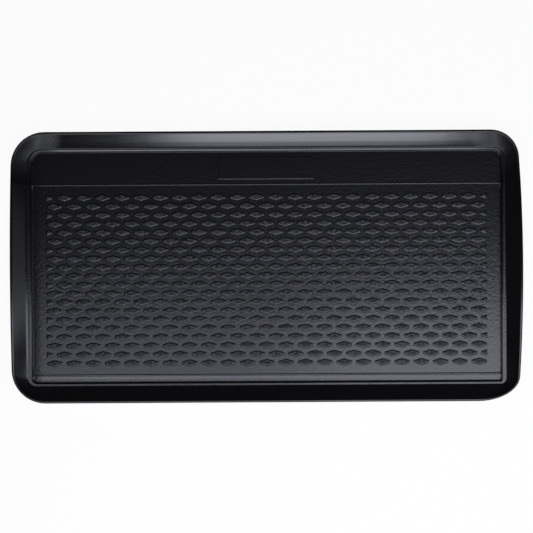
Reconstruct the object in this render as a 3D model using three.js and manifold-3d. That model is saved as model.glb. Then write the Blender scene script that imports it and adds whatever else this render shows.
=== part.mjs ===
// A car boot liner: one moulded sheet of rubbery polyurethane, shaped as a shallow tray.
//
// A flat floor carries rows of raised, stretched hexagons between two low ribs. A low step runs
// round it, a narrow ledge tops the step, and from the ledge the sheet flares up and out to a flat
// lip. A smooth strip with a blank raised plate lies along the back, and beside that strip the
// border bends down a little. The underside follows the upper side one thickness below.
//
// Units are millimetres. X runs across the car, +Y points to the back edge and +Z is up. The
// origin is the middle of the flat underside.
import * as THREE from "three";
import { mergeGeometries, mergeVertices } from "three/addons/utils/BufferGeometryUtils.js";
import Module from "manifold-3d";

// The whole liner
const linerLength = 1000;
const linerDepth = 529;
const rimHeight = 36;
const sheetThickness = 3.5;

// The border, from the rim inwards
const lipWidth = 5.5;
const lipThickness = 2.5;
const flareWidth = 33;
const flareFootAngle = 28;
const flareRimAngle = 45;
const ledgeHeight = 15;
const sideLedgeWidth = 7.5;
const endLedgeWidth = 5;
const stepEdgeRadius = 3;
const stepDraft = 2;
const backDip = 5;

// The plan view of the border: corner radii, and how far the soft sides bow outwards. The rim's
// front right corner is drawn out along the front edge, to this reach.
const leftRimRadius = 66;
const rightRimRadius = 55;
const frontRightRimRadius = 50;
const frontRightRimReach = 82;
const backLeftLedgeRadius = 27;
const backRightLedgeRadius = 21;
const frontLeftLedgeRadius = 17;
const frontRightLedgeRadius = 10;
const leftBow = 2.5;
const rightBow = 7;

// The floor: strips beyond the two ribs, and the ribs themselves
const backStripDepth = 63.5;
const frontStripDepth = 13.5;
const ribWidth = 4;
const ribHeight = 0.9;

// The pattern of raised cells
const cellLength = 30;
const cellWidth = 13.6;
const cellEndWidth = 5.2;
const cellHeight = 1.2;
const cellPitch = 37.7;
const rowPitch = 17.05;
const sideMargin = 27;
const backMargin = 17.5;
const frontMargin = 16.5;
const narrowestCell = 6;

// The blank plate in the back strip
const plateLength = 187;
const plateWidth = 44;
const plateHeight = 1;

// How finely curves are cut into flats
const cornerSteps = 5;
const flareSteps = 2;

// Sizes that follow
const halfLength = linerLength / 2;
const halfDepth = linerDepth / 2;
const footSideInset = flareWidth + sideLedgeWidth + stepDraft;
const footEndInset = flareWidth + endLedgeWidth + stepDraft;
const floorHalfLength = halfLength - footSideInset;
const floorHalfDepth = halfDepth - footEndInset;
const backRibY = floorHalfDepth - backStripDepth;
const frontRibY = frontStripDepth - floorHalfDepth;

const { lerp, clamp, degToRad } = THREE.MathUtils;

/**
 * One closed line round the liner, seen from above, anticlockwise from the front right corner.
 * It lies sideInset from the two short edges and endInset from the two long ones. towardsLedge is
 * 0 at the rim, where corners are wide and the sides bow, and 1 at the ledge and further in.
 */
function planLine(sideInset, endInset, towardsLedge) {
  const beyondLedge = Math.max(0, endInset - flareWidth);
  const radiusOf = (rim, ledge) => Math.max(1, lerp(rim, ledge, towardsLedge) - beyondLedge);
  const yEnd = halfDepth - endInset;
  const right = {
    sign: 1,
    bow: rightBow * (1 - towardsLedge),
    front: radiusOf(frontRightRimRadius, frontRightLedgeRadius),
    back: radiusOf(rightRimRadius, backRightLedgeRadius),
  };
  const left = {
    sign: -1,
    bow: leftBow * (1 - towardsLedge),
    front: radiusOf(leftRimRadius, frontLeftLedgeRadius),
    back: radiusOf(leftRimRadius, backLeftLedgeRadius),
  };

  const corner = ({ sign, bow }, radius, ySign, fromAngle, reach = radius) =>
    Array.from({ length: cornerSteps + 1 }, (_, i) => {
      const angle = fromAngle + ((Math.PI / 2) * i) / cornerSteps;
      const x = halfLength - sideInset - bow - reach;
      return new THREE.Vector2(
        sign * x + reach * Math.cos(angle),
        ySign * (yEnd - radius) + radius * Math.sin(angle),
      );
    });

  // The bowed side, from front to back, with its last point where the border starts to bend down.
  const flank = ({ sign, bow, front, back }) => {
    const reach = yEnd - front;
    const bend = Math.min(backRibY, 0.95 * (yEnd - back));
    return [-reach / 2, 0, bend / 2, bend].map(
      (y) => new THREE.Vector2(sign * (halfLength - sideInset - bow * (y / reach) ** 2), y),
    );
  };

  return [
    ...corner(right, right.front, -1, -Math.PI / 2, radiusOf(frontRightRimReach, frontRightLedgeRadius)),
    ...flank(right),
    ...corner(right, right.back, 1, 0),
    ...corner(left, left.back, 1, Math.PI / 2),
    ...flank(left).reverse(),
    ...corner(left, left.front, -1, Math.PI),
  ];
}

/** How far the border has dipped at this y: nothing up to the back rib, all of it at the back. */
const dipAt = (y) => backDip * clamp((y - backRibY) / (floorHalfDepth - backRibY), 0, 1);

/** A closed line in space: the plan line at these insets, at one height, dipping if it is border. */
function ring({ side, end, z, towardsLedge = 1, dips = true }) {
  return planLine(side, end, towardsLedge).map(
    (p) => new THREE.Vector3(p.x, p.y, z - (dips ? dipAt(p.y) : 0)),
  );
}

/** The flare's upper face in section: x is the distance from the ledge, y the height. */
function flareSection() {
  const run = flareWidth - lipWidth;
  const rise = rimHeight - ledgeHeight;
  const footSlope = Math.tan(degToRad(flareFootAngle));
  const rimSlope = Math.tan(degToRad(flareRimAngle));
  const bend = clamp((rimSlope * run - rise) / (rimSlope - footSlope), 0.1 * run, 0.9 * run);
  return new THREE.QuadraticBezierCurve(
    new THREE.Vector2(0, ledgeHeight),
    new THREE.Vector2(bend, ledgeHeight + footSlope * bend),
    new THREE.Vector2(run, rimHeight),
  );
}

/** A line of the flare or the lip, one inset from all four edges. */
const flareLine = (inset, z) => ({ side: inset, end: inset, z, towardsLedge: inset / flareWidth });

/** The border's lines in space, from under the floor, out and over the lip, down to the floor. */
function borderRings() {
  const curve = flareSection();
  const under = [];
  const upper = [];
  for (let i = 0; i <= flareSteps; i++) {
    const point = curve.getPoint(i / flareSteps);
    const tangent = curve.getTangent(i / flareSteps);
    const inset = flareWidth - point.x;
    upper.unshift(flareLine(inset, point.y));
    if (i < flareSteps) {
      const drop = sheetThickness * tangent.x;
      under.push(flareLine(inset - sheetThickness * tangent.y, point.y - drop));
    }
  }
  const foot = { side: footSideInset, end: footEndInset, z: sheetThickness, dips: false };
  const edge = { side: flareWidth + sideLedgeWidth, end: flareWidth + endLedgeWidth };
  const moved = (line, by, z) => ({ ...line, side: line.side - by, end: line.end - by, z });
  return [
    moved(foot, sheetThickness, 0),
    moved(edge, sheetThickness, ledgeHeight - sheetThickness),
    ...under,
    flareLine(0, rimHeight - lipThickness),
    flareLine(0, rimHeight),
    ...upper,
    moved(edge, stepEdgeRadius, ledgeHeight),
    moved(edge, 0, ledgeHeight - stepEdgeRadius),
    foot,
  ].map(ring);
}

/** A closed mesh through the rings, capped flat below the first and above the last. */
function loft(rings) {
  const count = rings[0].length;
  const positions = rings.flat().flatMap((p) => [p.x, p.y, p.z]);
  const index = [];
  for (let r = 0; r + 1 < rings.length; r++) {
    for (let i = 0; i < count; i++) {
      const a = r * count + i;
      const b = r * count + ((i + 1) % count);
      index.push(a, b, b + count, a, b + count, a + count);
    }
  }
  const flat = (points) => points.map((p) => new THREE.Vector2(p.x, p.y));
  const top = (rings.length - 1) * count;
  for (const [a, b, c] of THREE.ShapeUtils.triangulateShape(flat(rings[0]), [])) {
    index.push(c, b, a);
  }
  for (const [a, b, c] of THREE.ShapeUtils.triangulateShape(flat(rings.at(-1)), [])) {
    index.push(top + a, top + b, top + c);
  }
  return new THREE.BufferGeometry()
    .setAttribute("position", new THREE.Float32BufferAttribute(positions, 3))
    .setIndex(index);
}

/** One cell's outline: a hexagon with short ends, cut off where the patterned field ends. */
function cellOutline(x, y, fieldHalf) {
  const [long, end, wide] = [cellLength / 2, cellEndWidth / 2, cellWidth / 2];
  const hexagon = [
    [-long, -end],
    [0, -wide],
    [long, -end],
    [long, end],
    [0, wide],
    [-long, end],
  ].map(([dx, dy]) => new THREE.Vector2(x + dx, y + dy));
  return [-1, 1].reduce((points, sign) => cutAt(points, sign, fieldHalf), hexagon);
}

/** The part of a convex outline on the inner side of the line x = sign * limit. */
function cutAt(points, sign, limit) {
  const kept = [];
  points.forEach((p, i) => {
    const q = points[(i + 1) % points.length];
    const [inP, inQ] = [sign * p.x <= limit, sign * q.x <= limit];
    if (inP) kept.push(p);
    if (inP !== inQ) kept.push(p.clone().lerp(q, (sign * limit - p.x) / (q.x - p.x)));
  });
  return kept;
}

/** Every cell's outline. Rows alternate: whole cells from end to end, then shifted by half a cell. */
function patternOutlines() {
  const fieldHalf = floorHalfLength - sideMargin;
  const front = frontRibY + frontMargin;
  const back = backRibY - backMargin;
  const rows = Math.floor((back - front - cellWidth) / rowPitch) + 1;
  const firstY = (front + back - (rows - 1) * rowPitch) / 2;
  const wholeSide = Math.floor((fieldHalf - cellLength / 2) / cellPitch);
  const outlines = [];
  for (let row = 0; row < rows; row++) {
    const shift = (row % 2) / 2;
    for (let column = -wholeSide - 2 * shift; column <= wholeSide; column++) {
      const x = (column + shift) * cellPitch;
      const outline = cellOutline(x, firstY + row * rowPitch, fieldHalf);
      const xs = outline.map((p) => p.x);
      if (Math.max(...xs) - Math.min(...xs) >= narrowestCell) outlines.push(outline);
    }
  }
  return outlines;
}

/** A pad of this outline that rises from inside the sheet to this height over the floor. */
function pad(outline, height) {
  const prism = new THREE.ExtrudeGeometry(new THREE.Shape(outline), {
    depth: sheetThickness / 2 + height,
    bevelEnabled: false,
  });
  return prism.translate(0, 0, sheetThickness / 2);
}

/** The blank plate, a plain rectangle in the middle of the back strip. */
function plate() {
  const y = (backRibY + floorHalfDepth) / 2;
  const [x, dy] = [plateLength / 2, plateWidth / 2];
  const corners = [
    [-x, y - dy],
    [x, y - dy],
    [x, y + dy],
    [-x, y + dy],
  ].map(([px, py]) => new THREE.Vector2(px, py));
  return pad(corners, plateHeight);
}

/** A rib of triangular section across the whole floor at this y, its ends inside the step. */
function rib(y) {
  const section = new THREE.Shape([
    new THREE.Vector2(-ribWidth, -ribHeight),
    new THREE.Vector2(ribWidth, -ribHeight),
    new THREE.Vector2(0, ribHeight),
  ]);
  const length = 2 * (floorHalfLength + sheetThickness * 0.7);
  return new THREE.ExtrudeGeometry(section, { depth: length, bevelEnabled: false })
    .translate(0, 0, -length / 2)
    .rotateX(Math.PI / 2)
    .rotateZ(Math.PI / 2)
    .translate(0, y, sheetThickness);
}

const wasm = await Module();
wasm.setup();

/** A closed geometry as a solid that can be joined to another. */
function solidOf(geometry) {
  const bare = geometry.clone();
  bare.deleteAttribute("normal");
  bare.deleteAttribute("uv");
  const merged = mergeVertices(bare, 1e-4);
  const vertProperties = merged.attributes.position.array;
  const triVerts = new Uint32Array(merged.index.array);
  return new wasm.Manifold(new wasm.Mesh({ numProp: 3, vertProperties, triVerts }));
}

/** The geometry of a solid, with flat shading. */
function geometryOf(solid) {
  const { vertProperties, triVerts } = solid.getMesh();
  const geometry = new THREE.BufferGeometry()
    .setAttribute("position", new THREE.BufferAttribute(vertProperties, 3))
    .setIndex(new THREE.BufferAttribute(triVerts, 1))
    .toNonIndexed();
  geometry.computeVertexNormals();
  return geometry;
}

/** The whole liner: the lofted sheet with its cells, its plate and its two ribs. */
function linerGeometry() {
  const cells = patternOutlines().map((outline) => pad(outline, cellHeight));
  const raised = mergeGeometries([...cells, plate(), rib(backRibY), rib(frontRibY)]);
  return geometryOf(solidOf(loft(borderRings())).add(solidOf(raised)));
}

const blackPolyurethane = new THREE.MeshStandardMaterial({
  name: "black_polyurethane",
  color: 0x1b1b1e,
  roughness: 0.45,
  metalness: 0,
});

const liner = new THREE.Mesh(linerGeometry(), blackPolyurethane);
liner.name = "boot_liner";

const part = new THREE.Group();
part.add(liner);

export default part;
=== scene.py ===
# %% [markdown]
# # A car boot liner, seen from straight above
#
# A boot liner is one thin sheet of black polyurethane, foamed and pressed in a hot mould. It is
# shallow and almost all surface, so its look comes from three things: the pattern of raised
# hexagons, the flared border, and how softly each finish spreads the light of the studio.
#
# The model could be a stack of objects, such as a plate with hexagons laid into it. A moulded
# sheet has no joins, so this lesson makes one closed surface instead. Every part of it is a grid
# or a loop of points worked out with numpy, and loops that meet share their points.

# %% Load the fixed frame
import math
from collections import namedtuple

import bpy
import numpy as np
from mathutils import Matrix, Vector


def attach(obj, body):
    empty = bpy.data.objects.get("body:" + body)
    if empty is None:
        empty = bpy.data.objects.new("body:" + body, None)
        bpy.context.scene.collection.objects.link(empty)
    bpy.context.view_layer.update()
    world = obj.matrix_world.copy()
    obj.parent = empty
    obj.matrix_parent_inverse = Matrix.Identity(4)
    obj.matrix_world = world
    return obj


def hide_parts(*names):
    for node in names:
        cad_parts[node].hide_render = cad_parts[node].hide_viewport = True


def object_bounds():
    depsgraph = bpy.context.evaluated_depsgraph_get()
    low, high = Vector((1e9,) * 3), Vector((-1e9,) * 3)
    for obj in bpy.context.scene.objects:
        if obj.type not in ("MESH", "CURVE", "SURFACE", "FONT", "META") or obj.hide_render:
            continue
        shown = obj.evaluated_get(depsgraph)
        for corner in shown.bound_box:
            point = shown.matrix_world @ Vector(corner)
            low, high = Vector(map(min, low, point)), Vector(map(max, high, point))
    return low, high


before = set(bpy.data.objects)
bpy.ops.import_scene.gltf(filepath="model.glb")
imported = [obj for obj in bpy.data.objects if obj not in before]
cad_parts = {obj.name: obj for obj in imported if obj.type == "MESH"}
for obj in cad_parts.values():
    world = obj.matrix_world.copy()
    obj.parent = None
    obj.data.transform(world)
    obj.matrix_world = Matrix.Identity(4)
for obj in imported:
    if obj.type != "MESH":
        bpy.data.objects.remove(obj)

cad_bounds = [[float(value) for value in corner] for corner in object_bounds()]
print("the CAD model's box in metres:", cad_bounds)

# %% [markdown]
# ## The sizes
#
# The liner's outer sizes are read from the solid model's box: it is a metre long. The others are
# the solid model's too, in millimetres. Two are finer here, because they decide how wide a line of
# light is: the ribs are 0.65 mm high, not 0.9, and the step's upper edge, which the solid model
# rounds by 3 mm all round, is cut back by 0.9 mm at the front, and slopes by 19 degrees for 3 mm
# at the back. The origin is the middle of the underside, +X runs along the liner, +Y to the edge
# with the blank plate, and +Z up.
#
# The radii and the bow differ from hand to hand, so they are given by side. A bevel has a run
# along the ledge, a fall down the wall, and how much of each of its two edges is rounded.

# %% The sizes, in millimetres
LENGTH, DEPTH, RIM_HEIGHT = (round(1000 * (high - low), 3) for low, high in zip(*cad_bounds))
SHEET = 3.5
FLARE, LIP, LIP_EDGE, LIP_RISE = 33.0, 5.5, 2.5, 0.9
FLARE_FOOT, FLARE_RIM = math.radians(28), math.radians(45)
LEDGE_HEIGHT, SIDE_LEDGE, END_LEDGE = 15.0, 7.5, 5.0
DRAFT = 2.0
FRONT_BEVEL = {"run": 0.9, "fall": 0.9, "cuts": (1.0, 0.6)}
BACK_BEVEL = {"run": 3.3, "fall": 1.15, "cuts": (0.5, 0.4)}
BACK_DIP = 5.0
RIM_RADIUS = {"left": 66.0, "right": 55.0}
FRONT_RIGHT_RIM = {"radius": 50.0, "reach": 82.0}
BACK_LEDGE_RADIUS = {"left": 27.0, "right": 21.0}
FRONT_LEDGE_RADIUS = {"left": 17.0, "right": 10.0}
BOW = {"left": 2.5, "right": 7.0}
BACK_STRIP, FRONT_STRIP = 63.5, 13.5
RIB_HALF, RIB_HEIGHT = 2.0, 0.65
PLATE, PLATE_HEIGHT = (187.0, 44.0), 1.0
ROWS, ROW_PITCH, HALF_PITCH = 20, 17.05, 18.85
CELL_HALF, CELL_END, CELL_APEX, CELL_HEIGHT = 15.0, 2.6, 6.8, 1.2
WHOLE_CELLS = 11
FIELD_HALF, FIELD_CENTRE = 430.5, -25.5

FOOT_SIDE = LENGTH / 2 - FLARE - SIDE_LEDGE - DRAFT
FOOT_END = DEPTH / 2 - FLARE - END_LEDGE - DRAFT
BACK_RIB = FOOT_END - BACK_STRIP
FRONT_RIB = FRONT_STRIP - FOOT_END
print(f"floor {2 * FOOT_SIDE:.0f} by {2 * FOOT_END:.0f} mm, ribs at {FRONT_RIB:.1f}, {BACK_RIB:.1f}")

# %% [markdown]
# ## One tile of the pattern
#
# Each raised cell stands in a tile, which reaches to the middle of the web of rubber between it and
# its neighbours. The tiles are hexagons too, and fit together like bricks, so one tile worked out
# once and copied to every centre makes the whole field. Five loops of 16 points make it: the
# tile's edge, the cell's foot, and three loops up its rounded shoulder. The few faces between them
# are enough, because there are hundreds of cells.
#
# Where the field ends at a side, every second row has a cell cut off straight. It gets a half
# tile with loops of 12 points.
#
# Each loop of a cell is given by how far it lies outside the cell's outline, and its height. The
# corners of a cell aren't sharp: at its ends each is cut off over 1.1 mm, and its apex is blunt
# for 1.4 mm to either side. The stump of a cut cell has two more corners, cut off over 1 mm.

# %% A full tile and a half tile
SLOPE = (CELL_APEX - CELL_END) / CELL_HALF
TILE_APEX = (ROW_PITCH + HALF_PITCH * SLOPE) / 2
TILE_END = ROW_PITCH - TILE_APEX
NEAR = 0.1
RINGS_OF_A_CELL = [(0.3, 0.0), (-0.1, 0.5), (-0.8, 0.95), (-2.1, CELL_HEIGHT)]
END_CUT, END_SHARE, BLUNT_APEX = 1.1, 0.6, 1.4
STUMP_CUT, STUMP_DROP, STUMP_SHARE = 1.0, 0.9, 0.45


def side_height(x, outset):
    """A cell's sloping side: apex height less slope times |x|, moved out square by the outset."""
    return CELL_APEX + outset * math.hypot(1, SLOPE) - SLOPE * np.abs(x)


def tile_loop():
    """The tile's edge: mid end, corner, two points near the corners of the slope, and apex."""
    inner = np.array([[1, 0], [1, TILE_END], [1 - NEAR, 0], [NEAR, 0], [0, TILE_APEX]])
    inner *= [HALF_PITCH, 1]
    inner[2:4, 1] = TILE_APEX - (TILE_APEX - TILE_END) * inner[2:4, 0] / HALF_PITCH
    return quarter_to_loop(inner)


def cell_loop(outset):
    """The cell's edge moved out by the outset: mid end, two points of the cut corner, apex."""
    end = CELL_HALF + outset
    x = np.array([end, end, end - END_CUT, BLUNT_APEX, 0.0])
    y = side_height(x, outset)
    y[:2] = 0.0, y[1] * END_SHARE
    y[4] = (y[4] + y[3]) / 2
    return quarter_to_loop(np.stack([x, y], axis=1))


def quarter_to_loop(q):
    """A full anticlockwise loop from its first quarter, whose end points lie on the axes."""
    half = np.concatenate([q, q[-2::-1] * [-1, 1]])
    return np.concatenate([half, half[-2:0:-1] * [1, -1]])


def half_tile_loops():
    """The same for a cell cut off straight at x = -cut, in the half tile left of its centre."""
    cut = WHOLE_CELLS * 2 * HALF_PITCH + HALF_PITCH - FIELD_HALF
    x = -HALF_PITCH * np.array([0, 0, 0, NEAR, 1 - NEAR, 1, 1])
    y = np.array([0, TILE_APEX / 2, TILE_APEX, 0, 0, TILE_END, 0])
    y[3:5] = TILE_APEX + (TILE_APEX - TILE_END) * x[3:5] / HALF_PITCH
    loops = [np.stack([x, y], axis=1)]
    for outset, _ in RINGS_OF_A_CELL:
        near, far = outset - cut, -CELL_HALF - outset
        x = np.array([near, near, near, near - STUMP_CUT, far + END_CUT, far, far])
        y = side_height(x, outset)
        y[[0, 1, 2, 5, 6]] = 0, y[2] * STUMP_SHARE, y[2] - STUMP_DROP, y[5] * END_SHARE, 0
        loops.append(np.stack([x, y], axis=1))
    return [np.concatenate([q, q[-2:0:-1] * [1, -1]]) for q in loops]


def stack_loops(loops):
    """Loops of one length at their heights, as an array of loop, point and coordinate."""
    heights = [0.0] + [z for _, z in RINGS_OF_A_CELL]
    flat = np.array(loops)
    upright = np.broadcast_to(np.reshape(heights, (-1, 1, 1)), (*flat.shape[:2], 1))
    return np.concatenate([flat, upright], axis=2)


full_tile = stack_loops([tile_loop()] + [cell_loop(outset) for outset, _ in RINGS_OF_A_CELL])
half_tile = stack_loops(half_tile_loops())
print("a full tile has loops of", full_tile.shape[1], "points, a half tile", half_tile.shape[1])

# %% [markdown]
# ## Patches of one surface
#
# The surface is made of many patches. Each patch is an array of points, in millimetres, and arrays
# of faces that index them. `Surface` keeps them, and at the end welds the points that patches
# share, which closes the surface. Welding works on whole arrays: points are rounded to a
# thousandth of a millimetre, and equal ones become one.

# %% Collect patches and weld them
class Surface:
    """A closed surface in the making: patches of points and faces, each with its finish."""

    def __init__(self):
        self.points, self.patches, self.count = [], [], 0

    def add(self, points, *patches):
        """Keep points, and patches of (faces, finish, smooth) that index them."""
        for faces, finish, smooth in patches:
            self.patches.append((faces + self.count, finish, smooth))
        self.points.append(points.reshape(-1, 3))
        self.count += len(self.points[-1])

    def mesh(self, name, reshape):
        """Weld equal points, drop corners that fell together, and build the mesh in metres."""
        points = reshape(np.concatenate(self.points))
        rounded_off = np.round(points, 3)
        _, first, place = np.unique(rounded_off, axis=0, return_index=True, return_inverse=True)
        place = place.reshape(-1)
        corners, sizes, finishes, smooths = [], [], [], []
        for faces, finish, smooth in self.patches:
            welded = place[faces]
            stays = welded != np.roll(welded, 1, axis=1)
            whole = stays.sum(axis=1) >= 3
            corners.append(welded[whole][stays[whole]])
            sizes.append(stays[whole].sum(axis=1))
            finishes.append(np.full(whole.sum(), finish))
            smooths.append(np.full(whole.sum(), smooth))
        corners, sizes, finishes, smooths = map(np.concatenate, (corners, sizes, finishes, smooths))
        mesh = bpy.data.meshes.new(name)
        mesh.vertices.add(len(first))
        mesh.vertices.foreach_set("co", (points[first] / 1000).astype(np.float32).ravel())
        mesh.loops.add(len(corners))
        mesh.loops.foreach_set("vertex_index", corners.astype(np.int32))
        mesh.polygons.add(len(sizes))
        mesh.polygons.foreach_set("loop_start", (np.cumsum(sizes) - sizes).astype(np.int32))
        mesh.polygons.foreach_set("material_index", finishes.astype(np.int32))
        mesh.polygons.foreach_set("use_smooth", smooths)
        mesh.update(calc_edges=True)
        print(name, "has", len(first), "points and", len(sizes), "faces")
        print("it is valid:", not mesh.validate())
        return mesh

# %% Faces of rings and grids
def ring_faces(rings, count):
    """Quads between closed rings of points that are stored one after the other."""
    i = np.arange(count)
    j = (i + 1) % count
    start = np.arange(rings - 1)[:, None] * count
    quads = np.stack([start + i, start + j, start + count + j, start + count + i], axis=-1)
    return quads.reshape(-1, 4)


def grid_faces(rows, columns):
    """Quads of a grid, as an array of row and column. Rows run along x, and follow along y."""
    i = np.arange(rows - 1)[:, None] * columns + np.arange(columns - 1)
    return np.stack([i, i + 1, i + columns + 1, i + columns], axis=-1)


WEB, PAD, BORDER, UNDERSIDE = range(4)
surface = Surface()
print("finishes: web", WEB, "pad", PAD, "border", BORDER, "underside", UNDERSIDE)

# %% [markdown]
# ## The patterned field
#
# Rows of cells alternate: 23 whole cells, then 22 whole cells with a cut one at each end. The
# front row is a whole one.
#
# The cells could be instances of one object, but then the web between them would need joins. As
# arrays, all copies are made at once: the tile's points are added to every centre, and the
# faces' indices are counted on by one tile each time.

# %% Copy the tiles to their centres
def add_tiles(tile, xs, ys):
    """Every copy of a tile, one for each pair of an x and a y, as a single array of points."""
    rings, count, _ = tile.shape
    centres = np.stack(np.meshgrid(xs, ys, [SHEET]), axis=-1).reshape(-1, 1, 3)
    start = (np.arange(len(centres)) * rings * count)[:, None, None]
    quads = start + ring_faces(rings, count)
    tops = start[:, 0] + np.arange((rings - 1) * count, rings * count)
    surface.add(
        centres + tile.reshape(1, -1, 3),
        (quads[:, :count].reshape(-1, 4), WEB, False),
        (quads[:, count:].reshape(-1, 4), WEB, True),
        (tops, PAD, False),
    )
    return len(centres)


row_y = FIELD_CENTRE + (np.arange(ROWS) - (ROWS - 1) / 2) * ROW_PITCH
whole_x = np.arange(-WHOLE_CELLS, WHOLE_CELLS + 1) * 2 * HALF_PITCH
field_end = (2 * WHOLE_CELLS + 1) * HALF_PITCH
# Mirroring turns a loop's direction round, so its points are also put in the opposite order.
half_count = half_tile.shape[1]
mirrored_half_tile = half_tile[:, (half_count // 2 - np.arange(half_count)) % half_count] * [-1, 1, 1]
cells = [
    add_tiles(full_tile, whole_x, row_y[0::2]),
    add_tiles(full_tile, whole_x[:-1] + HALF_PITCH, row_y[1::2]),
    add_tiles(half_tile, [field_end], row_y[1::2]),
    add_tiles(mirrored_half_tile, [-field_end], row_y[1::2]),
]
print("cells:", sum(cells))

# %% [markdown]
# ## Lines round the liner
#
# The border is a profile carried round the floor. Its path isn't one curve moved sideways: at the
# rim the corners are wide and the short sides bow, and at the ledge the corners are tight and the
# sides straight. So each point of the profile gets its own closed line, by the same rule. The
# rule takes how far the line lies in from the short and from the long edges, and `inwards`, which
# runs from 0 at the rim to 1 at the ledge.
#
# Every line has the same points in the same order: the right side, a corner, the back, a corner
# and so on, anticlockwise. The side's points come from the rows of the floor's grid and the
# back's and front's from its columns, so the border meets the floor point by point.
#
# Columns less than 375 mm from the middle stay where they are in every line, and those beyond are
# drawn out to the corner. Rows slide a little too: the fold beside the back rib runs straight in
# from the rim, where it lies 6 mm further back than at the ledge.

# %% The plan of one closed line
CORNER_STEPS = 12
STEADY_X = 375.0
FOLD_SLANT = 6.0
FOOT_CUT = 1.0
FLOOR_INSET = FLARE + SIDE_LEDGE + DRAFT + FOOT_CUT, FLARE + END_LEDGE + DRAFT + FOOT_CUT
Corner = namedtuple("Corner", "radius reach start first_y x y bow")


def corner_of(side, end, inwards, hand, back):
    """One corner: its radii along y and x, the angle where its arc starts, the y of the arc's first
    point, the arc's centre, and the side's bow.

    A radius runs straight from the rim's to the ledge's, and less beyond. The arc starts where
    its tangent is that of the bowed side, whose slope is twice the bow over its half length. Only
    the rim's front right corner is part of an ellipse, drawn out along the front edge.
    """
    ledge_radius = (BACK_LEDGE_RADIUS if back else FRONT_LEDGE_RADIUS)[hand]
    ellipse = hand == "right" and not back
    rim = (FRONT_RIGHT_RIM["radius"], FRONT_RIGHT_RIM["reach"]) if ellipse else (RIM_RADIUS[hand],) * 2
    beyond = max(0.0, end - FLARE)
    radius, reach = (size * (1 - inwards) + ledge_radius * inwards - beyond for size in rim)
    bow = BOW[hand] * (1 - inwards)
    centre_y = DEPTH / 2 - end - radius
    start = math.atan(2 * bow / centre_y * radius / reach)
    first_y = centre_y + radius * math.sin(start)
    centre_x = LENGTH / 2 - side - bow - reach * math.cos(start)
    return Corner(radius, reach, start, first_y, centre_x, centre_y, bow)


def arc_of(corner):
    """The corner's arc as x and y, without its first point, which is the end of the side."""
    angles = np.linspace(corner.start, math.pi / 2, CORNER_STEPS + 1)[1:]
    x = corner.x + corner.reach * np.cos(angles)
    return np.stack([x, corner.y + corner.radius * np.sin(angles)])


def fold_y(inwards):
    """The y where the border's dip begins: at the back rib by the ledge, further back at the rim."""
    return BACK_RIB + FOLD_SLANT * (1 - inwards)


def plan_line(side, end, inwards, xs, ys_right, ys_left):
    """A closed line, as x and y. The floor's own columns and rows are moved to fit between its arcs."""
    parts = []
    for hand, ys in (("right", ys_right), ("left", ys_left)):
        sign = 1 if hand == "right" else -1
        front = corner_of(side, end, inwards, hand, False)
        back = corner_of(side, end, inwards, hand, True)
        moved = [-front.first_y, 0, fold_y(inwards), back.first_y]
        y = np.interp(ys, [ys[0], 0, BACK_RIB, ys[-1]], moved)
        end_y = np.where(y < 0, front.first_y, back.first_y)
        x = sign * (LENGTH / 2 - side - front.bow * (y / end_y) ** 2)
        back_arc = arc_of(back) * [[sign], [1]]
        front_arc = arc_of(front) * [[sign], [-1]]
        parts.append((np.stack([x, y]), back_arc, front_arc))
    (right, back_right, front_right), (left, back_left, front_left) = parts

    def straight(from_x, to_x, y):
        steady = -STEADY_X, STEADY_X
        fit = np.interp(xs, [xs[0], *steady, xs[-1]], [from_x, *steady, to_x])
        return np.stack([fit, np.full(len(xs), y)])[:, 1:-1]

    back = straight(back_left[0, -1], back_right[0, -1], DEPTH / 2 - end)
    front = straight(front_left[0, -1], front_right[0, -1], end - DEPTH / 2)
    order = [right, back_right, back[:, ::-1], back_left[:, ::-1], left[:, ::-1], front_left, front]
    return np.concatenate(order + [front_right[:, ::-1]], axis=1).T


corner = corner_of(0, 0, 0, "right", False)
print(f"the rim's front right arc: {corner.reach:.0f} mm along x and {corner.radius:.0f} mm along y")

# %% [markdown]
# ## The floor round the field
#
# The floor is one grid of columns and rows with the tiles in its middle. Its columns run on from
# the tiles' points, with a few more for the rounded corners. Its front and back rows bend: the
# first follows the zigzag of the tiles and the last follows the foot of the step. Two rows on
# each side of a rib's crest make the rib, a low rounded ridge.
#
# The blank plate stands on the back strip. It is made as a tile is: loops that start from the
# grid's own points round a rectangular gap and shrink to the plate's foot, up its shoulder and over
# its top.
#
# The shares say how far each row lies on the way from a rib to the floor's edge. At the front they
# are close together, because the strip there is curved. At the back two of them pass the plate.

# %% Columns, rows and the floor's edge
PLATE_MARGIN, PLATE_COLUMNS = 1.2, 5
RINGS_OF_THE_PLATE = [(0.3, 0.0), (-0.1, 0.5), (-0.5, 0.88), (-1.0, PLATE_HEIGHT)]
RIB_PROFILE = [(share * RIB_HALF, (1 - share**2) * RIB_HEIGHT) for share in (-1, -0.5, 0, 0.5, 1)]
floor_x = LENGTH / 2 - FLOOR_INSET[0]
floor_y = DEPTH / 2 - FLOOR_INSET[1]
half_steps = np.arange(-2 * WHOLE_CELLS - 1, 2 * WHOLE_CELLS + 1)[:, None] + [0, NEAR, 1 - NEAR]
field_x = np.append(half_steps.ravel() * HALF_PITCH, field_end)
arc_x = floor_x - corner_of(*FLOOR_INSET, 1, "left", True).radius
outer_x = np.append((field_end + arc_x) / 2, np.linspace(arc_x, floor_x, CORNER_STEPS + 1))
columns = np.concatenate([-outer_x[::-1], field_x, outer_x])

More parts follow.
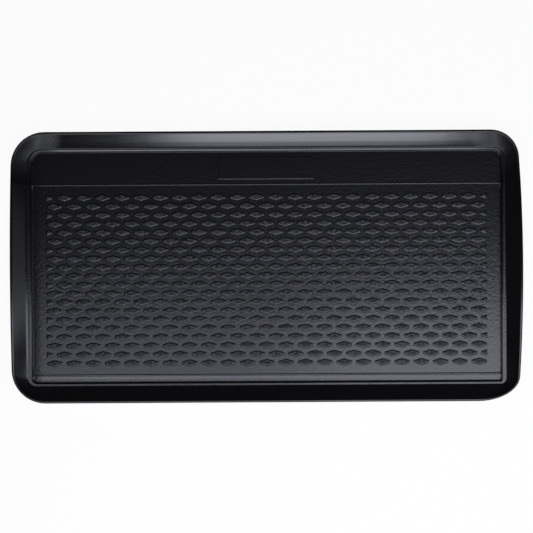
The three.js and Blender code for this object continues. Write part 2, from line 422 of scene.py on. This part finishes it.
pair_y = np.repeat(row_y.reshape(-1, 2), [2, 4], axis=1)
pair_y += [-TILE_END, 0, -TILE_APEX, -TILE_APEX / 2, 0, TILE_APEX / 2]
side_y = np.append(pair_y.ravel(), row_y[-1] + TILE_APEX)
plate_y = (BACK_RIB + FOOT_END) / 2
plate_gap = PLATE[1] / 2 + PLATE_MARGIN
beside_plate = np.array([plate_y - plate_gap, plate_y + plate_gap]) - BACK_RIB - RIB_HALF
back_share = np.array([*beside_plate / (floor_y - BACK_RIB - RIB_HALF), 0.98, 1.0])
front_share = np.array([1.0, 0.93, 0.82, 0.7, 0.58, 0.46, 0.34, 0.22, 0.1])


def side_rows(hand):
    """The y of every row's end on one side, from the front corner's arc to the back corner's."""
    front = -corner_of(*FLOOR_INSET, 1, hand, False).first_y
    back = corner_of(*FLOOR_INSET, 1, hand, True).first_y
    rib = np.array([y for y, _ in RIB_PROFILE])
    near_front = (1 - front_share) * (FRONT_RIB - RIB_HALF) + front_share * front
    near_back = (1 - back_share) * (BACK_RIB + RIB_HALF) + back_share * back
    return np.concatenate([near_front, FRONT_RIB + rib, side_y, BACK_RIB + rib, near_back])


line_x = columns[CORNER_STEPS:-CORNER_STEPS]
rows_right, rows_left = side_rows("right"), side_rows("left")
floor_edge = plan_line(*FLOOR_INSET, 1, line_x, rows_right, rows_left)
back_edge = floor_edge[len(rows_right) - 1 :][: len(columns)][::-1]
front_edge = np.append(floor_edge[1 - len(columns) :], floor_edge[:1], axis=0)
print("the floor's edge has", len(floor_edge), "points")

# %% The floor's grids
def zigzag(x, shift):
    """How far the tiles' edge stands out at x: a saw between apex and end, one half pitch long."""
    share = np.abs((x / HALF_PITCH + shift) % 2 - 1)
    return TILE_END + (TILE_APEX - TILE_END) * share


def level_row(y, height=0.0):
    """A straight row of the grid at one y and height over the floor."""
    level = np.full((len(columns), 2), [y, SHEET + height])
    return np.column_stack([columns, level])


def blend_row(row, edge, share):
    """A row of the grid that lies this share of the way from a straight row to the floor's edge."""
    flat = np.column_stack([edge, np.full(len(edge), SHEET)])
    return row * (1 - share) + flat * share


in_field = np.abs(columns) <= field_end
front_zigzag = level_row(row_y[0] - TILE_END)
front_zigzag[in_field, 1] = row_y[0] - zigzag(field_x, 0)
back_zigzag = level_row(row_y[-1] + TILE_APEX)
back_zigzag[in_field, 1] = row_y[-1] + zigzag(field_x, 1)

front_rib = [level_row(FRONT_RIB + dy, z) for dy, z in RIB_PROFILE]
back_rib = [level_row(BACK_RIB + dy, z) for dy, z in RIB_PROFILE]
near_front = [blend_row(front_rib[0], front_edge, share) for share in front_share]
near_back = [blend_row(back_rib[-1], back_edge, share) for share in back_share]
front_rows = near_front + front_rib + [front_zigzag]
back_rows = [back_zigzag] + back_rib + near_back
gap_row = len(back_rows) - len(back_share)
gap_end = (PLATE_COLUMNS + NEAR) * HALF_PITCH
gap_columns = np.flatnonzero(np.abs(columns) <= gap_end + 0.01)

faces = grid_faces(len(front_rows), len(columns)).reshape(-1, 4)
surface.add(np.array(front_rows), (faces, WEB, False))
faces = grid_faces(len(back_rows), len(columns))
outside_gap = np.ones(faces.shape[:2], bool)
outside_gap[gap_row, gap_columns[:-1]] = False
surface.add(np.array(back_rows), (faces[outside_gap], WEB, False))
for side in (columns[: len(outer_x) + 1], columns[-len(outer_x) - 1 :]):
    points = np.stack(np.meshgrid(side, side_y, [SHEET]), axis=-1)
    surface.add(points, (grid_faces(len(side_y), len(side)).reshape(-1, 4), WEB, False))

print("the floor has", len(columns), "columns and", len(front_rows) + len(back_rows), "long rows")

# %% The blank plate
near_side, far_side = back_rows[gap_row], back_rows[gap_row + 1]
gap = np.concatenate([near_side[gap_columns], far_side[gap_columns[::-1]]])
middle = np.array([0, plate_y, SHEET])
loops = [gap]
for outset, height in RINGS_OF_THE_PLATE:
    scale = [(PLATE[0] / 2 + outset) / gap[:, 0].max(), (PLATE[1] / 2 + outset) / plate_gap, 1]
    loops.append(middle + (gap - middle) * scale + [0, 0, height])
faces = ring_faces(len(loops), len(gap))
top = np.arange(len(loops) * len(gap))[None, -len(gap) :]
surface.add(np.array(loops), (faces, WEB, False), (top, WEB, False))
print("the plate's loops have", len(gap), "points")

# %% [markdown]
# ## The border
#
# The border's profile starts at the floor's edge, climbs the step, crosses the ledge and sweeps up
# the flare to a narrow lip along the rim, then returns under the sheet, one thickness below. The
# flare is a quadratic curve, flatter at its foot than at its rim. The lip's top is a low parabola,
# so that some part of it always faces a lamp and draws a thin light line. The other bends are
# corners rounded by short quadratic curves.
#
# There are two upper profiles, one for the front and one for the back, with the two bevels of the
# step's edge. Their lines have the same points, so they can be blended by y. The one at the back is
# the broad one: it is turned just so far that it mirrors a lamp, as one bright line.

# %% Rounding a line's corners
def rounded(line, cuts, steps=4):
    """Each inner corner becomes a quadratic curve, from one cut's length before it to one after."""
    t = np.linspace(0, 1, steps + 1)[:, None]
    parts = [line[:1]]
    for before, corner, after, cut in zip(line, line[1:], line[2:], cuts):
        a = corner + (before - corner) * min(1, cut / np.hypot(*(before - corner)[1:]))
        b = corner + (after - corner) * min(1, cut / np.hypot(*(after - corner)[1:]))
        parts.append((1 - t) ** 2 * a + 2 * t * (1 - t) * corner + t**2 * b)
    return np.concatenate(parts + [line[-1:]])


def past_ledge(extra, z):
    """A point of the profile, this far inside the ledge: its two insets and its height."""
    return [FLARE + SIDE_LEDGE + extra, FLARE + END_LEDGE + extra, z]

# %% The flare and the lip
FLARE_STEPS = 10
lip_foot = RIM_HEIGHT - LIP_RISE
run, rise = FLARE - LIP, lip_foot - LEDGE_HEIGHT
bend = (math.tan(FLARE_RIM) * run - rise) / (math.tan(FLARE_RIM) - math.tan(FLARE_FOOT))
t = np.linspace(0, 1, FLARE_STEPS + 1)
flare_x = 2 * t * (1 - t) * bend + t**2 * run
flare_z = LEDGE_HEIGHT + 2 * t * (1 - t) * bend * math.tan(FLARE_FOOT) + t**2 * rise
slope = np.arctan2(np.gradient(flare_z), np.gradient(flare_x))
flare = np.column_stack([FLARE - flare_x, FLARE - flare_x, flare_z])

across = np.linspace(1, -1, 9)
lip_inset = LIP / 2 * (1 + across)
lip = np.column_stack([lip_inset, lip_inset, RIM_HEIGHT - (RIM_HEIGHT - lip_foot) * across**2])
edge = np.array([[0, 0, RIM_HEIGHT - LIP_EDGE]])
print(f"the flare rises {rise:.1f} mm over {run:.1f} mm")

# %% The profile above and below
LEDGE_CUT = 0.7
UNDER_CUTS = [1.5, 1.5, 2.0]
UNDER_REACH = 4


def upper_profile(bevel):
    """The profile's upper side, from the floor's edge to the rim, with this bevel on the step.

    The bevel falls from its run inside the ledge to its fall down the wall. Both of its corners are
    rounded by their cuts.
    """
    wall_top = DRAFT * bevel["fall"] / (LEDGE_HEIGHT - SHEET)
    corners = [
        past_ledge(DRAFT + FOOT_CUT, SHEET),
        past_ledge(DRAFT, SHEET),
        past_ledge(wall_top, LEDGE_HEIGHT - bevel["fall"]),
        past_ledge(wall_top - bevel["run"], LEDGE_HEIGHT),
    ]
    step = rounded(np.array([*corners, *flare[:2]]), [FOOT_CUT, *bevel["cuts"], LEDGE_CUT])
    return np.concatenate([step, flare[2:], lip[1:], edge])


upper_front, upper_back = upper_profile(FRONT_BEVEL), upper_profile(BACK_BEVEL)

drop = SHEET * np.column_stack([np.sin(slope), np.sin(slope), np.cos(slope)])
flare_below = flare - drop
step_below = [
    past_ledge(-SHEET, LEDGE_HEIGHT - SHEET),
    past_ledge(DRAFT - SHEET, 0),
    past_ledge(UNDER_REACH, 0),
]
under = rounded(np.array([*flare_below[1::-1], *step_below]), UNDER_CUTS)
under = np.concatenate([flare_below[:1:-1], under])
print("the profile has", len(upper_front), "points above and", len(under), "below")

# %% [markdown]
# ## Carried round, and not quite true
#
# Moulded rubber is never quite flat, and on a dark, half glossy sheet a slope of a few degrees
# shows as light or shade. Three such bends are made in the next cells. Beside the back strip the
# whole border bends down a little. The floor's side margins fall towards the step, which darkens
# the left one and brightens the right one. The front strip falls from its rib by almost a
# millimetre, steeply at first, so it is brightest beside the rib and fades towards the step.
#
# A line of the border could also be bent with a modifier, but then the bend would depend on the
# object's box. Here each bend is a function of the points, applied to the whole array at once.

# %% Carry the profile round
# From the floor up to this height on the step's wall, the ribs and the floor's falls fade out and
# the border's dip sets in.
BEND_TOP = LEDGE_HEIGHT - 3


def dip(y, inwards):
    """How far the border has bent down at y: in a straight line from the fold to the back."""
    return BACK_DIP * np.clip((y - fold_y(inwards)) / (FOOT_END - BACK_RIB), 0, 1)


def ridge(y):
    """How high the ribs are at y: a parabola at each, nothing elsewhere."""
    away = np.minimum(np.abs(y - FRONT_RIB), np.abs(y - BACK_RIB))
    return RIB_HEIGHT * np.clip(1 - (away / RIB_HALF) ** 2, 0, 1)


def border_line(point, base, top, ribbed):
    """The closed line of one point of the profile.

    It dips by its share of the height from the base to the top, and the ribs run out by the same
    share.
    """
    side, end, z = point
    inwards = min(1.0, end / FLARE)
    line = plan_line(side, end, inwards, line_x, rows_right, rows_left)
    share = np.clip((z - base) / (top - base), 0, 1)
    raised = ribbed * (1 - share) * ridge(line[:, 1]) - share * dip(line[:, 1], inwards)
    return np.column_stack([line, z + raised])


below = [border_line(point, 0, LEDGE_HEIGHT - SHEET, False) for point in under[::-1]]
above = []
for pair in zip(upper_front[::-1], upper_back[::-1]):
    front, back = (border_line(point, SHEET, BEND_TOP, True) for point in pair)
    share = np.clip(0.5 + front[:, 1:2] / (2 * FOOT_END), 0, 1)
    above.append(front * (1 - share) + back * share)
count = len(floor_edge)
faces = ring_faces(len(below) + len(above), count)
underneath = (len(below) - 1) * count
bottom = np.arange(count)[None, ::-1]

# Rings of faces are counted back from the floor's edge: six for the foot and the wall, nine for
# the bevel with its rounded edges, and two for the ledge.
FOOT_AND_WALL, BEVEL, LEDGE = 6, 9, 2
wall = len(faces) - FOOT_AND_WALL * count
bevel = wall - BEVEL * count
ledge = bevel - LEDGE * count
surface.add(
    np.array(below + above),
    (faces[:underneath], UNDERSIDE, True),
    (faces[underneath:ledge], BORDER, True),
    (faces[ledge:bevel], WEB, True),
    (faces[bevel:wall], BORDER, True),
    (faces[wall:], WEB, True),
    (bottom, UNDERSIDE, False),
)
print("the border has", len(faces), "faces, of which", underneath, "lie below")

# %% Let the margins and the front strip fall
SIDE_FALL_START = FIELD_HALF + 6
SIDE_BEND, FRONT_BEND, LOWEST = 0.0032, 0.0109, 0.8


def fall_away(points):
    """Lower the floor's side margins and the front strip towards the step.

    At the sides the fall is the bend times the square of the way from where it starts. In the front
    strip it is a parabola that is nothing at the rib and lowest just before the step. Both grow less
    up the step's wall.
    """
    x, y, z = np.abs(points[:, 0]), -points[:, 1], points[:, 2]
    across = np.clip(x - SIDE_FALL_START, 0, FOOT_SIDE - SIDE_FALL_START)
    strip = FOOT_END + FRONT_RIB - RIB_HALF
    along = np.clip(y + FRONT_RIB - RIB_HALF, 0, strip)
    on_top = (z > SHEET - 0.01) & (x < FOOT_SIDE + DRAFT) & (np.abs(y) < FOOT_END + DRAFT)
    share = np.clip((BEND_TOP - z) / (BEND_TOP - SHEET), 0, 1) * on_top
    fall = (SIDE_BEND * across**2 + FRONT_BEND * along * (2 * LOWEST * strip - along)) * share
    return points - np.outer(fall, [0, 0, 1])


fallen = SHEET - fall_away(np.array([[0.0, -FOOT_END, SHEET]]))[0, 2]
print(f"at the step the front strip has fallen {fallen:.2f} mm")

# %% Weld the surface
mesh = surface.mesh("boot_liner_sheet", fall_away)
sheet = bpy.data.objects.new("boot_liner_sheet", mesh)
bpy.context.scene.collection.objects.link(sheet)
edge_uses = np.zeros(len(mesh.edges), int)
loop_edges = np.zeros(len(mesh.loops), np.int32)
mesh.loops.foreach_get("edge_index", loop_edges)
np.add.at(edge_uses, loop_edges, 1)
print("triangles:", len(mesh.loops) - 2 * len(mesh.polygons))
print("edges not shared by two faces:", int((edge_uses != 2).sum()))

# %% [markdown]
# ## Where the sheet was stretched
#
# A hot sheet that is drawn over a mould gets thinner in the corners, and loses some gloss there.
# The finish has to know where that is. A texture could be painted, but the corners are simple: an
# attribute on the points runs from 0 on the straight parts to 1 in the corners at the back, along
# x and y. The corners at the front are stretched less.

# %% Mark the corners
CORNER_START = LENGTH / 2 - 102, DEPTH / 2 - 95
CORNER_WAY = 40.0, 35.0
FRONT_STRETCH = 0.45
points = np.zeros(3 * len(mesh.vertices), np.float32)
mesh.vertices.foreach_get("co", points)
x, y, _ = points.reshape(-1, 3).T * 1000
in_x = np.clip((np.abs(x) - CORNER_START[0]) / CORNER_WAY[0], 0, 1)
in_y = np.clip((np.abs(y) - CORNER_START[1]) / CORNER_WAY[1], 0, 1)
in_corner = in_x * in_y * np.where(y > 0, 1.0, FRONT_STRETCH)
stretched = mesh.attributes.new("stretched", "FLOAT", "POINT")
stretched.data.foreach_set("value", in_corner.astype(np.float32))
print("points in stretched corners:", int((in_corner > 0.4).sum()))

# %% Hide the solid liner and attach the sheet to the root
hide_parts("boot_liner")
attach(sheet, "root")
print(sheet.name, "replaces boot_liner")

# %% [markdown]
# ## Finishes
#
# The whole liner is one material, black polyurethane, and its colour is almost the same all over.
# What differs is the skin that each part of the mould has given it, so there are four finishes:
#
# - the web between the cells, the strips, the ribs and the ledge come from a fine grained mould
#   face. They are satin, and mirror a lamp as a broad soft patch;
# - the tops of the cells come from a coarser, etched grain. It scatters light more, so they look
#   lighter than the web where the web is dark, and darker where the web mirrors a lamp. Their
#   colour also has painted shade in the grain's pits and painted light on its peaks;
# - the flare and the lip come from polished steel, and are glossy. In the corners, where the hot
#   sheet is stretched over the mould, the gloss is lost a little;
# - the back is matte, with the open texture of the foam.
#
# Photographs of each grain could be used instead. Noise that is worked out needs no pictures, has
# no seams and can be made for any size. A real grain is 0.2 to 0.5 mm, too fine to show from this
# far, so the two grains are drawn at 5 mm. The noise's coordinates are the object's own, so the
# grain would move with it.

# %% Colours and nodes
def linear(code):
    """An sRGB hex colour as linear red, green, blue and alpha."""
    srgb = np.array([int(code[i : i + 2], 16) for i in (1, 3, 5)]) / 255
    low, high = srgb / 12.92, ((srgb + 0.055) / 1.055) ** 2.4
    return (*np.where(srgb <= 0.04045, low, high).tolist(), 1.0)


def node(tree, kind, settings=(), links=()):
    """Add a node, set its properties or input values by name, and link its inputs."""
    new = tree.nodes.new(kind)
    for name, value in dict(settings).items():
        if isinstance(name, str) and hasattr(new, name):
            setattr(new, name, value)
        else:
            new.inputs[name].default_value = value
    for name, source in dict(links).items():
        tree.links.new(source, new.inputs[name])
    return new

# %% A finish of polyurethane
def polyurethane(name, colour, roughness, grain_mm, grain_depth, mirror=0.5, grain_shading=0, stretched=0):
    """Black polyurethane as pressed in a mould whose face has this grain.

    The mirror is how strong reflections are: 0.5 for a smooth face, less where pits hold light.
    A nonzero grain shading paints shade into the grain's pits and light onto its peaks; at 1 the pits
    are black and the peaks twice as light. Stretched corners are rougher by `stretched`.
    """
    material = bpy.data.materials.new(name)
    material.use_nodes = True
    tree = material.node_tree
    shader = tree.nodes["Principled BSDF"]
    shader.inputs["Base Color"].default_value = linear(colour)
    shader.inputs["Roughness"].default_value = roughness
    shader.inputs["IOR"].default_value = 1.5
    shader.inputs["Specular IOR Level"].default_value = mirror
    place = node(tree, "ShaderNodeTexCoord")
    grain = node(
        tree,
        "ShaderNodeTexNoise",
        {"Scale": 1000 / grain_mm, "Detail": 1.5, "Roughness": 0.5},
        {"Vector": place.outputs["Object"]},
    )
    bump = node(
        tree,
        "ShaderNodeBump",
        {"Strength": 1.0, "Distance": grain_depth / 1000},
        {"Height": grain.outputs["Fac"]},
    )
    tree.links.new(bump.outputs["Normal"], shader.inputs["Normal"])
    # Painted shade and light on the grain: the colour is darker in its pits and lighter on its peaks.
    if grain_shading:
        painted_grain_shade = node(
            tree,
            "ShaderNodeMapRange",
            {"From Min": 0.35, "From Max": 0.65, "To Min": 1 - grain_shading, "To Max": 1 + grain_shading},
            {"Value": grain.outputs["Fac"]},
        )
        grain_shaded_colour = node(
            tree,
            "ShaderNodeVectorMath",
            {"operation": "SCALE", 0: linear(colour)[:3]},
            {"Scale": painted_grain_shade.outputs[0]},
        )
        tree.links.new(grain_shaded_colour.outputs[0], shader.inputs["Base Color"])
    if stretched:
        corner = node(tree, "ShaderNodeAttribute", {"attribute_name": "stretched"})
        rougher = node(
            tree,
            "ShaderNodeMapRange",
            {"To Min": roughness, "To Max": roughness + stretched},
            {"Value": corner.outputs["Fac"]},
        )
        tree.links.new(rougher.outputs[0], shader.inputs["Roughness"])
    return material

# %% The four finishes
# To the eye the first is a satin sheen with a faint leathery grain, the second a dull grey with
# painted shade in its grain's pits and painted light on its peaks, the third a dark mirror with
# hardly visible waves, and the fourth an even black.
finishes = [
    polyurethane("polyurethane_pressed_on_fine_grain", "#101013", 0.26, 5.0, 0.32),
    polyurethane("polyurethane_etched_grain_with_painted_shade", "#2d2d32", 0.66, 5.0, 1.2, 0.27, grain_shading=1),
    polyurethane("polyurethane_pressed_on_polished_steel", "#0a0a0c", 0.12, 40.0, 0.03, stretched=0.32),
    polyurethane("polyurethane_foam_back", "#18181a", 0.65, 1.5, 0.15),
]
for finish in finishes:
    mesh.materials.append(finish)
    print(finish.name, "has", len(finish.node_tree.nodes), "nodes")

# %% [markdown]
# ## The studio
#
# The liner lies on a sweep of white paper. To the camera the paper mostly glows by itself, so it
# is white everywhere, but a small share of it is lit, which keeps the liner's soft shadow.
#
# A black sheet shows little but its reflections, so each lamp is placed for what it is mirrored
# in, seen from 8 m straight above:
#
# - the overhead boxes hang above the front half. The floor mirrors them there, and falls off to
#   black towards the back. The right one makes the right side brighter. The front and the far one
#   are seen only in slopes that face the front, such as the cells' front edges and the bevel;
# - the front panels stand far off and are mirrored in the back's flare. They are tall, so they
#   fill its whole slope, and no wider than its bright part. Were they close, the corners would
#   bend them into bright streaks;
# - the right panels are mirrored in the left flare. They grow dimmer towards the back;
# - nothing stands at the back or on the left, so the front and right flares stay black.

# %% The paper
PAPER_HALF, PAPER_GLOW = 6, 0.95


def new_object(name, data, place=(0, 0, 0), turn=(0, 0, 0)):
    """Add an object to the scene at a place, turned by degrees."""
    thing = bpy.data.objects.new(name, data)
    thing.location = place
    thing.rotation_euler = [math.radians(angle) for angle in turn]
    bpy.context.scene.collection.objects.link(thing)
    return thing


ground = bpy.data.meshes.new("studio_floor")
signs = (-1, -1), (1, -1), (1, 1), (-1, 1)
ground.from_pydata([(PAPER_HALF * x, PAPER_HALF * y, 0) for x, y in signs], [], [(0, 1, 2, 3)])
floor = new_object("studio_floor", ground)
paper = bpy.data.materials.new("white_paper_sweep")
paper.use_nodes = True
tree = paper.node_tree
shader = tree.nodes["Principled BSDF"]
shader.inputs["Base Color"].default_value = linear("#f4f4f4")
shader.inputs["Roughness"].default_value = 0.9
path = node(tree, "ShaderNodeLightPath")
glow = node(tree, "ShaderNodeEmission", {"Strength": 1.0})
seen = path.outputs["Is Camera Ray"]
for kind in ("Is Glossy Ray", "Is Transmission Ray"):
    either = node(tree, "ShaderNodeMath", {"operation": "MAXIMUM"}, {0: seen, 1: path.outputs[kind]})
    seen = either.outputs[0]
share = node(tree, "ShaderNodeMath", {"operation": "MULTIPLY", 1: PAPER_GLOW}, {0: seen})
parts = {0: share.outputs[0], 1: shader.outputs[0], 2: glow.outputs[0]}
mix = node(tree, "ShaderNodeMixShader", {}, parts)
tree.links.new(mix.outputs[0], tree.nodes["Material Output"].inputs["Surface"])
ground.materials.append(paper)
print("the paper has", len(tree.nodes), "nodes")

# %% The lamps
# The numbers of the overhead boxes are their place, width and depth. Those of the panels are the
# edges they reach to. All are in metres, and the last is the brightness.
LAMP_COLOUR = "#e2e5f2"
FRONT_PANELS_Y = -5.0
RIGHT_PANELS_X, RIGHT_PANELS_Z, RIGHT_PANELS_TALL = 1.8, 0.76, 1.5


def softbox(name, place, aim, width, depth, brightness):
    """A rectangular lamp at a place, facing a point. Brightness is its radiance, 1 being white."""
    lamp = bpy.data.lights.new(name, "AREA")
    lamp.shape = "RECTANGLE"
    lamp.size, lamp.size_y = width, depth
    lamp.energy = brightness * math.pi * width * depth
    lamp.color = linear(LAMP_COLOUR)[:3]
    box = new_object(name, lamp, place)
    box.rotation_euler = (Vector(aim) - Vector(place)).to_track_quat("-Z", "Y").to_euler()
    box.visible_camera = False
    return box


for name, x, y, z, width, depth, brightness in (
    ("overhead_box", 0.19, -0.25, 1.0, 1.62, 0.34, 2.4),
    ("overhead_box_right", 0.56, -0.25, 1.02, 0.9, 0.34, 2.6),
    ("overhead_box_front", 0.19, -0.56, 1.0, 1.62, 0.28, 5.8),
    ("overhead_box_far", 0.19, -0.92, 1.0, 1.62, 0.42, 1.1),
):
    softbox(name, (x, y, z), (x, y, 0.0), width, depth, brightness)
for name, left, right, low, high, brightness in (
    ("front_panel", -0.335, 0.62, 0.05, 2.2, 7.2),
    ("front_panel_top", -0.335, 0.62, 2.2, 3.3, 3.8),
    ("front_panel_right", 0.31, 0.60, 0.05, 2.5, 6.5),
):
    x, z = (left + right) / 2, (low + high) / 2
    softbox(name, (x, FRONT_PANELS_Y, z), (x, 0.0, z), right - left, high - low, brightness)
for name, front, back, brightness in (
    ("right_panel_front", -0.15, -0.08, 1.9),
    ("right_panel_middle", -0.08, 0.0, 0.7),
    ("right_panel_back", 0.0, 0.14, 0.35),
):
    y = (front + back) / 2
    place = RIGHT_PANELS_X, y, RIGHT_PANELS_Z
    softbox(name, place, (0.0, y, RIGHT_PANELS_Z), back - front, RIGHT_PANELS_TALL, brightness)
print("lamps:", len(bpy.data.lights))

# %% [markdown]
# ## The camera and the air around
#
# The camera looks straight down from 8 m. From so far the flares look equally wide on both sides.
# The lens is chosen so that the picture is 1038 mm wide at the height of the rim, and the camera
# is turned by a third of a degree, as the liner lies in the picture.
#
# The world is white for the camera, and dim for everything else. It isn't white for glossy rays,
# unlike the paper: there is no metal or glass here to need it, and black rubber that mirrored a
# white world would look grey.

# %% The camera
CAMERA_HEIGHT, CAMERA_TURN, PICTURE_WIDTH = 8.0, -0.33, 1.0378
camera_data = bpy.data.cameras.new("camera")
camera_data.sensor_width = 36
camera_data.lens = camera_data.sensor_width * (CAMERA_HEIGHT - RIM_HEIGHT / 1000) / PICTURE_WIDTH
camera_data.clip_end = 50
camera = new_object("camera", camera_data, (0, 0, CAMERA_HEIGHT), (0, 0, CAMERA_TURN))
bpy.context.scene.camera = camera
print(f"the lens is {camera_data.lens:.0f} mm")

# %% The world
DIM_WORLD = 0.04
world = bpy.data.worlds.new("studio")
bpy.context.scene.world = world
world.use_nodes = True
tree = world.node_tree
path = node(tree, "ShaderNodeLightPath")
dim = node(tree, "ShaderNodeBackground", {"Color": (1, 1, 1, 1), "Strength": DIM_WORLD})
seen = node(tree, "ShaderNodeBackground", {"Color": (1, 1, 1, 1), "Strength": 1.0})
shades = {0: path.outputs["Is Camera Ray"], 1: dim.outputs[0], 2: seen.outputs[0]}
mix = node(tree, "ShaderNodeMixShader", {}, shades)
tree.links.new(mix.outputs[0], tree.nodes["World Output"].inputs["Surface"])

bpy.context.scene.view_settings.view_transform = "Standard"
print("the world has", len(tree.nodes), "nodes")
